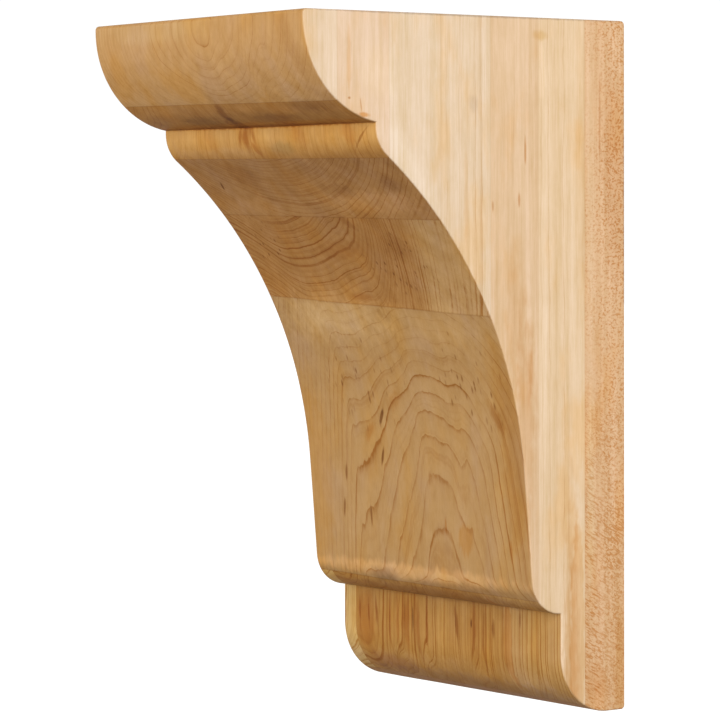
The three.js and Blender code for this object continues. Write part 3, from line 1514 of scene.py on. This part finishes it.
def front_marks() -> tuple[Mark, ...]:
    """The streaks, stains and smudges on the carved front."""
    front = Face.FRONT
    dark = (0.46, 0.32, 0.18)
    brown = (0.60, 0.46, 0.34)
    orange = (0.88, 0.70, 0.46)
    return (
        # The crown: a shaded slant across its right-hand end, and paler wood along its top
        Mark(front, 78, 12, 9, 34, lean=0.35, tint=(0.92, 0.88, 0.82)),
        Mark(front, -40, 3, 75, 12, tint=(1.05, 1.12, 1.22)),
        # A brown streak that crosses the step, with smudges and paler wood beside it
        Mark(front, -13, 48, 5, 9, lean=-0.97, tint=(0.66, 0.54, 0.42)),
        Mark(front, -13, 51, 5, 3, tint=(0.70, 0.62, 0.54)),
        Mark(front, -19, 59, 5, 10, tint=(0.68, 0.48, 0.28)),
        Mark(front, -40, 51, 22, 3.5, tint=(0.74, 0.70, 0.66)),
        Mark(front, 0, 51, 130, 5, tint=(0.92, 0.94, 0.95)),
        Mark(front, -60, 45, 24, 4, lean=-0.6, tint=(1.10, 1.14, 1.24)),
        Mark(front, 12, 45.5, 12, 3.2, lean=-0.8, tint=(1.14, 1.18, 1.30)),
        Mark(front, 48, 47, 12, 3, lean=-0.5, tint=(1.14, 1.16, 1.22)),
        Mark(front, 25, 50.5, 26, 3, tint=(0.78, 0.72, 0.66)),
        Mark(front, 66, 45.5, 24, 4, tint=(0.78, 0.74, 0.72)),
        # A burnt-orange band in the corner under the quarter round with a dark line of painted shade along
        # it, and the brown streak running on below
        Mark(front, 0, 53.5, 130, 2.2, tint=(0.98, 0.84, 0.56)),
        Mark(front, 0, 53.9, 130, 1.1, tint=(0.66, 0.54, 0.42)),
        Mark(front, -13, 65, 2.5, 6, lean=0.4, tint=(0.85, 0.70, 0.55)),
        # The fillet: golden and paler wood, a grey smudge, and a dark line at its right-hand end
        Mark(front, -24, 58, 2.2, 12, lean=-0.3, softness=0.9, tint=(0.72, 0.54, 0.36)),
        Mark(front, -12, 59, 3.0, 12, lean=0.25, softness=0.9, tint=(0.80, 0.64, 0.46)),
        Mark(front, 28, 58, 8, 9, lean=0.4, tint=(0.93, 0.82, 0.66)),
        Mark(front, 48, 57, 9, 8, tint=(1.04, 1.02, 0.96)),
        Mark(front, -52, 59, 7, 10, lean=0.3, tint=(0.94, 0.86, 0.72)),
        Mark(front, 70, 58, 8, 9, lean=0.3, tint=(0.92, 0.80, 0.62)),
        Mark(front, -2, 58, 9, 5, tint=(1.06, 1.08, 1.10)),
        Mark(front, -70, 58, 14, 6, tint=(1.04, 1.05, 1.08)),
        Mark(front, 11, 65, 13, 5, tint=(0.82, 0.86, 0.92)),
        Mark(front, 80, 61, 1.6, 8, lean=-1.3, tint=(0.68, 0.54, 0.38)),
        Mark(front, -45, 67, 55, 4, tint=(1.03, 1.08, 1.32)),
        # Clouds in the hollow's upper boards
        Mark(front, -72.7, 83.6, 1.2, 2.8, lean=-0.5, tint=dark),
        Mark(front, 31, 87, 12, 5, tint=(0.86, 0.82, 0.80)),
        Mark(front, 76, 83, 9, 6, tint=(0.82, 0.76, 0.70)),
        Mark(front, -44, 78, 18, 8, tint=(0.86, 0.83, 0.84)),
        Mark(front, 48, 93, 50, 8, tint=(1.24, 1.29, 1.45)),
        Mark(front, -60, 94, 40, 5, tint=(1.08, 1.08, 1.08)),
        Mark(front, -9, 142, 14, 3, tint=(0.86, 0.74, 0.58)),
        Mark(front, 14, 103, 5, 5, lean=0.8, tint=(0.82, 0.72, 0.60)),
        Mark(front, -6, 117, 30, 7, lean=-1.2, tint=(0.90, 0.82, 0.70)),
        Mark(front, -50, 108, 26, 12, tint=(0.98, 0.95, 0.90)),
        Mark(front, 45, 116, 14, 9, tint=(0.88, 0.82, 0.72)),
        # Pale wood at the top of the widest board, and its mineral dashes
        Mark(front, -42, 152, 70, 22, softness=0.95, tint=(1.30, 1.40, 1.56)),
        Mark(front, 50, 157, 62, 19, softness=0.95, tint=(1.14, 1.18, 1.24)),
        Mark(front, -22.7, 206, 1.9, 5.5, lean=-0.5, softness=0.5, tint=dark),
        Mark(front, -26, 227.5, 1.5, 6, lean=-0.3, softness=0.5, tint=dark),
        Mark(front, -40, 261, 1.2, 7, tint=brown),
        Mark(front, -60, 237.5, 1.3, 7, lean=-0.1, tint=brown),
        Mark(front, -64, 258, 1.3, 7, lean=-0.1, tint=brown),
        Mark(front, -35, 215, 5, 7, lean=-0.6, tint=(0.90, 0.76, 0.56)),
        Mark(front, -9, 197, 8, 8, lean=-0.6, tint=(0.92, 0.82, 0.66)),
        Mark(front, 25, 261, 1.2, 6, tint=orange),
        Mark(front, 41, 268, 7, 11, softness=0.4, tint=(0.97, 0.84, 0.60)),
        Mark(front, 76, 203, 5, 10, lean=0.4, tint=(0.82, 0.68, 0.50)),
        Mark(front, 78.5, 271, 1.8, 7, tint=orange),
        Mark(front, -86, 240, 18, 75, tint=(1.02, 0.95, 0.77)),
        # The next mark is painted shade down the hollow's right-hand edge
        Mark(front, 88, 225, 15, 75, tint=(0.90, 0.81, 0.67)),
        # The lip: a burn, paler wood above it, and painted shade on its underside
        Mark(front, -34, 292, 16, 6, tint=(0.70, 0.68, 0.70)),
        Mark(front, 30, 294, 60, 3, tint=(0.90, 0.86, 0.86)),
        Mark(front, -10, 289, 130, 6, tint=(1.36, 1.35, 1.42)),
        Mark(front, 0, 300, 130, 6, tint=(0.80, 0.73, 0.78)),
        # The foot's heartwood and its dark streaks
        Mark(front, -74, 322, 11, 26, softness=0.7, tint=(0.88, 0.73, 0.57)),
        Mark(front, -64, 315, 1.5, 15, lean=0.12, softness=0.9, tint=(0.66, 0.46, 0.28)),
        Mark(front, -71, 318, 1.2, 15, lean=0.1, softness=0.9, tint=(0.74, 0.54, 0.36)),
        Mark(front, -79, 318, 1.2, 14, lean=0.05, softness=0.9, tint=(0.74, 0.54, 0.36)),
        Mark(front, -37, 320, 4.5, 22, softness=0.9, tint=(0.80, 0.63, 0.45)),
        Mark(front, -45, 318, 2.0, 22, softness=0.9, tint=(0.84, 0.68, 0.52)),
        Mark(front, -19, 320, 1.5, 22, softness=0.9, tint=(0.86, 0.72, 0.56)),
        Mark(front, 22, 318, 5, 24, softness=0.9, tint=(0.88, 0.76, 0.62)),
        Mark(front, -31.2, 317, 1.1, 12, softness=0.9, tint=(0.5, 0.38, 0.27)),
        Mark(front, 7, 316, 2.0, 14, lean=0.12, tint=(0.64, 0.46, 0.28)),
        Mark(front, 19.7, 315, 0.9, 3, tint=dark),
        Mark(front, 38.5, 316, 1.8, 7, tint=(0.66, 0.52, 0.38)),
        Mark(front, 50, 322, 4, 30, softness=0.3, tint=(0.93, 0.78, 0.60)),
        Mark(front, 60.5, 309, 0.9, 6, tint=(0.68, 0.54, 0.42)),
        Mark(front, -27, 321, 2.6, 26, lean=0.03, softness=0.9, tint=(0.78, 0.60, 0.44)),
        Mark(front, -52, 320, 1.6, 26, softness=0.9, tint=(0.78, 0.60, 0.44)),
        Mark(front, 30, 320, 1.4, 26, lean=-0.03, softness=0.9, tint=(0.74, 0.58, 0.42)),
        Mark(front, -6, 320, 9, 28, softness=0.9, tint=(1.10, 1.13, 1.12)),
        # The foot's rounded end: greyer at the left, a paler band across it and a darker, bluer band below
        Mark(front, -58, 344, 34, 7, tint=(0.84, 0.76, 0.84)),
        Mark(front, 0, 341, 130, 8, tint=(1.08, 1.13, 1.36)),
        Mark(front, 10, 350, 130, 9, tint=(0.82, 0.83, 1.13)),
    )


def side_marks() -> tuple[Mark, ...]:
    """The streaks and stains on the right-hand side."""
    right = Face.RIGHT
    return (
        # Mineral streaks, and wood whose tone changes along the grain
        Mark(right, 66, 67, 0.9, 10, tint=(0.80, 0.62, 0.44)),
        Mark(right, 70, 92, 1.0, 5, tint=(0.82, 0.66, 0.50)),
        Mark(right, 99, 44, 5, 6, tint=(0.90, 0.90, 0.92)),
        Mark(right, 87, 95, 0.8, 4, tint=(0.82, 0.68, 0.52)),
        Mark(right, 72, 150, 9, 40, tint=(0.96, 0.90, 0.82)),
        Mark(right, 63, 180, 3, 26, lean=0.05, softness=1.0, tint=(0.90, 0.78, 0.62)),
        Mark(right, 66, 205, 9, 75, tint=(0.92, 0.83, 0.71)),
        # The next mark is a painted highlight on the side beside the hollow's edge
        Mark(right, 143, 72, 13, 34, lean=-0.7, tint=(1.05, 1.08, 1.13)),
        Mark(right, 122, 40, 4, 40, tint=(1.02, 1.04, 1.07)),
        Mark(right, 104, 90, 2, 36, tint=(0.97, 0.91, 0.83)),
        Mark(right, 176, 22, 1.5, 22, tint=(0.97, 0.88, 0.76)),
        # The next mark is a painted highlight stripe near the top of the side
        Mark(right, 55, 28, 2.6, 18, softness=0.4, tint=(1.06, 1.07, 1.10)),
        Mark(right, 56, 9, 7, 3.5, tint=(0.92, 0.85, 0.68)),
        Mark(right, 32, 320, 5.5, 70, softness=0.25, tint=(0.95, 0.85, 0.72)),
        Mark(right, 36, 332, 8, 120, softness=0.95, tint=(0.85, 0.70, 0.52)),
        Mark(right, 20, 340, 10, 14, tint=(0.93, 0.84, 0.72)),
        Mark(right, 2, 335, 8, 50, tint=(0.90, 0.80, 0.62)),
        Mark(right, 23, 245, 4, 70, tint=(1.04, 1.11, 1.15)),
        Mark(right, 8, 80, 10, 75, lean=-0.03, tint=(0.92, 0.86, 0.80)),
        Mark(right, 17, 52, 0.8, 34, tint=(0.84, 0.72, 0.60)),
        Mark(right, 158, 30, 16, 20, tint=(1.02, 1.02, 0.99)),
        # The boards' tones run into each other at the seam nearest the wall
        Mark(right, 23.5, 110, 5, 170, softness=0.9, tint=(1.03, 1.08, 1.14)),
        Mark(right, 30, 70, 5, 120, softness=0.9, tint=(0.99, 0.95, 0.89)),
        # Torn and burnt fibres beside the step, and a thin darker line along the top and the wall
        Mark(right, 167, 50.5, 4.5, 1.6, lean=-0.6, tint=(0.86, 0.62, 0.36)),
        Mark(right, 168.8, 46, 0.5, 4.5, lean=-0.1, tint=(0.80, 0.62, 0.42)),
        Mark(right, 176, 42.5, 1.2, 1.0, tint=(0.70, 0.52, 0.34)),
        Mark(right, 100, 0.4, 130, 1.0, tint=(0.74, 0.74, 0.76)),
        Mark(right, 0.4, 100, 1.0, 90, tint=(0.76, 0.72, 0.70)),
    )


def corbel_wood(profile: Profile) -> LaminatedWood:
    """The finish of this blank.

    Args:
        profile: the block's side view.

    Returns:
        The finish.
    """
    seams = (
        Seam(27.0, 0.010),
        Seam(57.5, 0.008),
        Seam(88.4, 0.0205),
        Seam(120.0, 0.0155),
        Seam(151.5, 0.0125),
        Seam(183.0, 0.0125),
    )
    right, top = profile.width / 2 / MM, profile.height / 2 / MM
    flecked = (
        Patch(Face.FRONT, 38, 124, 34, 24, softness=0.5),
        Patch(Face.FRONT, -32, 188, 40, 36, softness=0.6),
        Patch(Face.FRONT, 60, 190, 36, 38, softness=0.6),
        Patch(Face.FRONT, -70, 115, 26, 22, softness=0.8),
    )
    faint = (
        Patch(Face.FRONT, 0, 158, 150, 34, softness=0.9),
        Patch(Face.FRONT, 66, 185, 22, 60, softness=0.9),
        Patch(Face.FRONT, -84, 240, 22, 85, softness=0.9),
        Patch(Face.FRONT, 76, 118, 34, 30, softness=0.6),
        Patch(Face.FRONT, 8, 4, 40, 16, softness=0.9),
        Patch(Face.FRONT, 0, 298, 150, 8, softness=0.6),
        Patch(Face.FRONT, -60, 95, 36, 20, softness=0.8),
        Patch(Face.FRONT, 10, 347, 150, 14, softness=0.8),
    )
    marks = front_marks() + side_marks()
    return LaminatedWood(right, top, seams, corbel_boards(), marks, flecked, faint)


def main() -> None:
    """Builds the studio and the corbel, and notes the size of what was built."""
    logging.basicConfig(level=logging.INFO, format="%(message)s")
    low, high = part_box("corbel")
    profile = Profile(width=high[0] - low[0], depth=high[1] - low[1], height=high[2] - low[2])
    Studio().set_up()
    CorbelBlock(profile, corbel_wood(profile)).dress()


if __name__ == "__main__":
    main()
